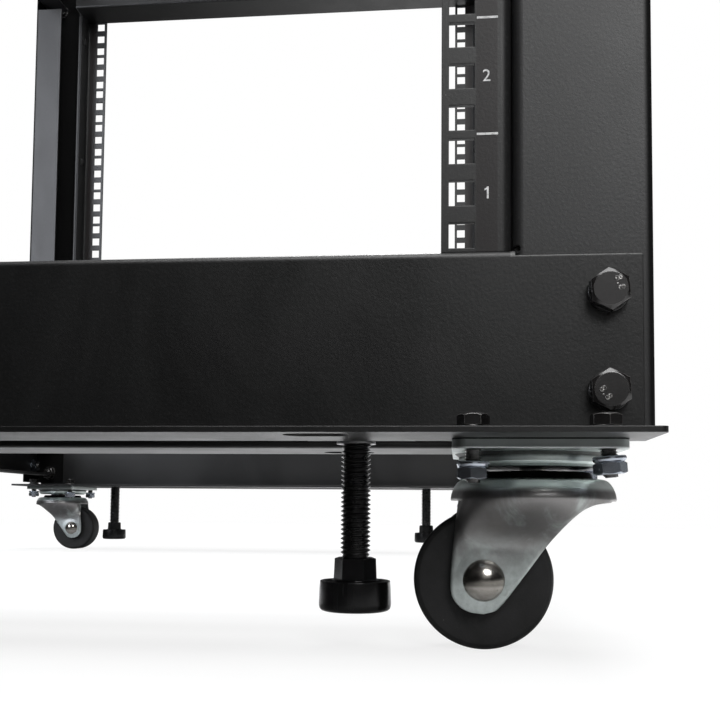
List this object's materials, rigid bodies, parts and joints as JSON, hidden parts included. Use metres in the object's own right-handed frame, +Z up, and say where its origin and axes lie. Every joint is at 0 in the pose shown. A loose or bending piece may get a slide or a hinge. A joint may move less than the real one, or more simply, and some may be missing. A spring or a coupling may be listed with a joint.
{
  "type": "four post open frame rack",
  "caption": "Open equipment frame with four posts, square-hole rails, bolted bars, swivel casters and levelling feet.",
  "frame": {"origin": "on the floor under the middle of the rack", "axes": "+Z up, the front of the rack faces -Y, +X to the right seen from the front"},
  "size_m": [0.6036, 0.895, 0.7492],
  "materials": {
    "rail_black": "fine textured black powder coat",
    "post_black": "fine textured black powder coat",
    "bar_black": "fine textured black powder coat",
    "side_rail_black": "fine textured black powder coat",
    "zinc_plate": "bright zinc plate",
    "zinc_fork": "bright zinc plate, lightly marked",
    "steel_pin": "turned steel rivet",
    "nut_steel": "plain weld nut",
    "wheel_black": "matt black hard tread",
    "foot_black": "black oxide and satin black plastic"
  },
  "bodies": {
    "frame": {"front_right_rail": "rail_black", "front_left_rail": "rail_black", "rear_right_rail": "rail_black", "rear_left_rail": "rail_black", "front_right_post": "post_black", "front_left_post": "post_black", "rear_right_post": "post_black", "rear_left_post": "post_black", "front_base_bar": "bar_black", "rear_base_bar": "bar_black", "front_top_bar": "bar_black", "rear_top_bar": "bar_black", "right_base_rail_front": "side_rail_black", "right_base_rail_rear": "side_rail_black", "left_base_rail_front": "side_rail_black", "left_base_rail_rear": "side_rail_black", "right_top_rail_front": "side_rail_black", "right_top_rail_rear": "side_rail_black", "left_top_rail_front": "side_rail_black", "left_top_rail_rear": "side_rail_black", "front_right_caster_plate": "zinc_plate", "front_right_foot_nut": "nut_steel", "front_left_caster_plate": "zinc_plate", "front_left_foot_nut": "nut_steel", "rear_right_caster_plate": "zinc_plate", "rear_right_foot_nut": "nut_steel", "rear_left_caster_plate": "zinc_plate", "rear_left_foot_nut": "nut_steel"},
    "front_right_fork": {"front_right_caster_fork": "zinc_fork", "front_right_caster_pins": "steel_pin"},
    "front_right_wheel": {"front_right_caster_wheel": "wheel_black"},
    "front_right_foot": {"front_right_levelling_foot": "foot_black"},
    "front_left_fork": {"front_left_caster_fork": "zinc_fork", "front_left_caster_pins": "steel_pin"},
    "front_left_wheel": {"front_left_caster_wheel": "wheel_black"},
    "front_left_foot": {"front_left_levelling_foot": "foot_black"},
    "rear_right_fork": {"rear_right_caster_fork": "zinc_fork", "rear_right_caster_pins": "steel_pin"},
    "rear_right_wheel": {"rear_right_caster_wheel": "wheel_black"},
    "rear_right_foot": {"rear_right_levelling_foot": "foot_black"},
    "rear_left_fork": {"rear_left_caster_fork": "zinc_fork", "rear_left_caster_pins": "steel_pin"},
    "rear_left_wheel": {"rear_left_caster_wheel": "wheel_black"},
    "rear_left_foot": {"rear_left_levelling_foot": "foot_black"}
  },
  "joints": [
    {"name": "front_right_swivel", "type": "hinge", "parent": "frame", "child": "front_right_fork", "pos_m": [0.2595, -0.386, 0.065], "axis": [0, 0, 1], "continuous": true},
    {"name": "front_right_roll", "type": "hinge", "parent": "front_right_fork", "child": "front_right_wheel", "pos_m": [0.2408, -0.386, 0.0258], "axis": [0, 1, 0], "continuous": true},
    {"name": "front_right_foot_height", "type": "slide", "parent": "frame", "child": "front_right_foot", "axis": [0, 0, 1], "range_m": [-0.0124, 0.014]},
    {"name": "front_left_swivel", "type": "hinge", "parent": "frame", "child": "front_left_fork", "pos_m": [-0.2595, -0.386, 0.065], "axis": [0, 0, 1], "continuous": true},
    {"name": "front_left_roll", "type": "hinge", "parent": "front_left_fork", "child": "front_left_wheel", "pos_m": [-0.2408, -0.386, 0.0258], "axis": [0, 1, 0], "continuous": true},
    {"name": "front_left_foot_height", "type": "slide", "parent": "frame", "child": "front_left_foot", "axis": [0, 0, 1], "range_m": [-0.0124, 0.014]},
    {"name": "rear_right_swivel", "type": "hinge", "parent": "frame", "child": "rear_right_fork", "pos_m": [0.2595, 0.386, 0.065], "axis": [0, 0, 1], "continuous": true},
    {"name": "rear_right_roll", "type": "hinge", "parent": "rear_right_fork", "child": "rear_right_wheel", "pos_m": [0.2408, 0.386, 0.0258], "axis": [0, 1, 0], "continuous": true},
    {"name": "rear_right_foot_height", "type": "slide", "parent": "frame", "child": "rear_right_foot", "axis": [0, 0, 1], "range_m": [-0.0124, 0.014]},
    {"name": "rear_left_swivel", "type": "hinge", "parent": "frame", "child": "rear_left_fork", "pos_m": [-0.2595, 0.386, 0.065], "axis": [0, 0, 1], "continuous": true},
    {"name": "rear_left_roll", "type": "hinge", "parent": "rear_left_fork", "child": "rear_left_wheel", "pos_m": [-0.2408, 0.386, 0.0258], "axis": [0, 1, 0], "continuous": true},
    {"name": "rear_left_foot_height", "type": "slide", "parent": "frame", "child": "rear_left_foot", "axis": [0, 0, 1], "range_m": [-0.0124, 0.014]}
  ]
}
